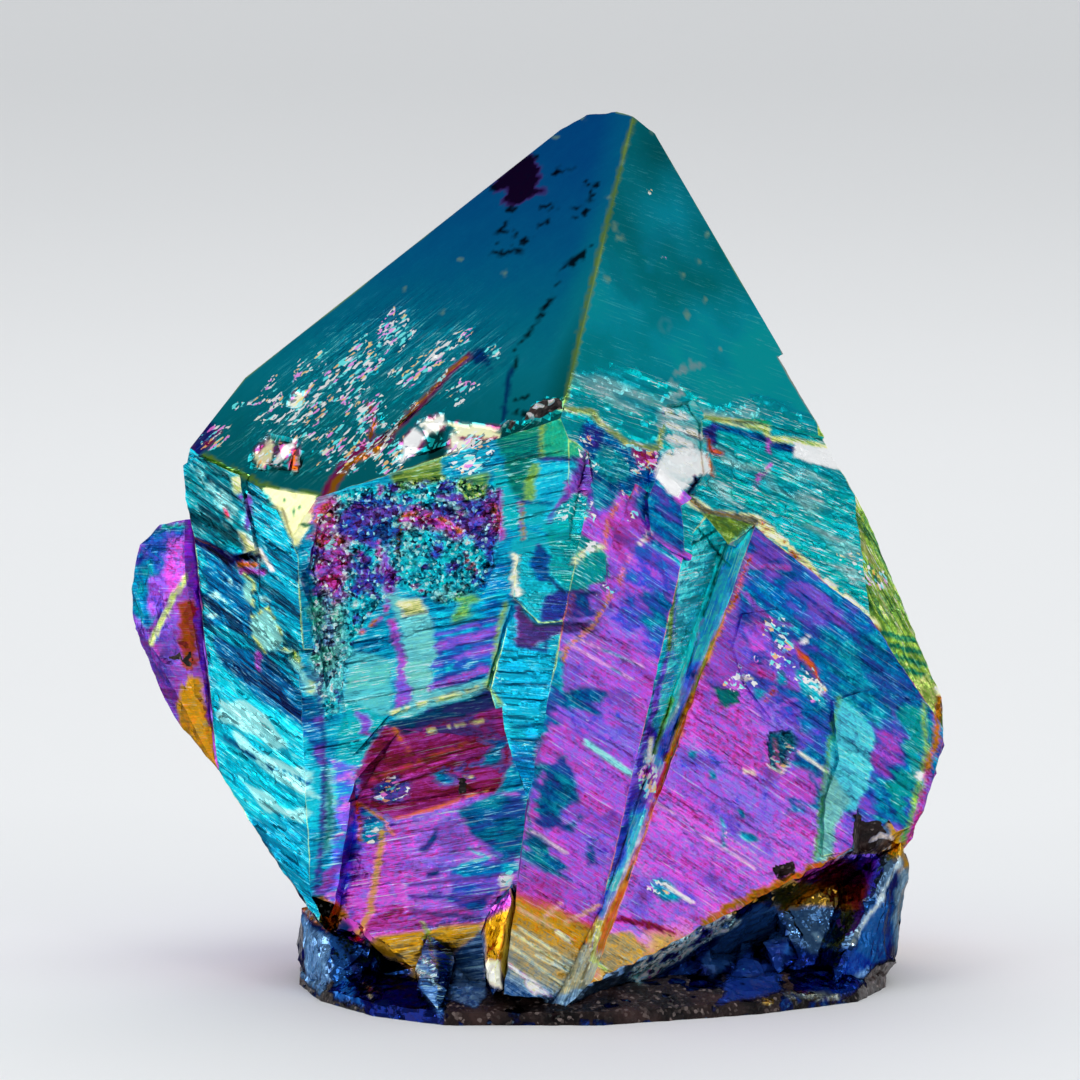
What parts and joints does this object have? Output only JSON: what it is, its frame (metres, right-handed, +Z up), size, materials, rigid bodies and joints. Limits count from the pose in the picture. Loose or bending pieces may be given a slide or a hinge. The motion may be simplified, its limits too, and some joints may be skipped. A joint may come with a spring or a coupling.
{
  "type": "coated crystal point",
  "caption": "Free-standing natural quartz crystal point with a ground tip, grown faces, a flat sawn base and an iridescent metallic coating.",
  "frame": {"origin": "middle of the sawn face it stands on, at table height", "axes": "+Z up towards the tip, +X to the viewer's right, +Y away from the viewer"},
  "size_m": [0.0819, 0.055, 0.087],
  "materials": {
    "coated_crystal": "amethyst under a thin vapour-deposited titanium film; ground and mirror-bright on the tip, striated, etched or broken below; iridescent blue, teal, violet, magenta and gold; nearly opaque"
  },
  "bodies": {
    "root": {"crystal_point": "coated_crystal"}
  },
  "joints": []
}
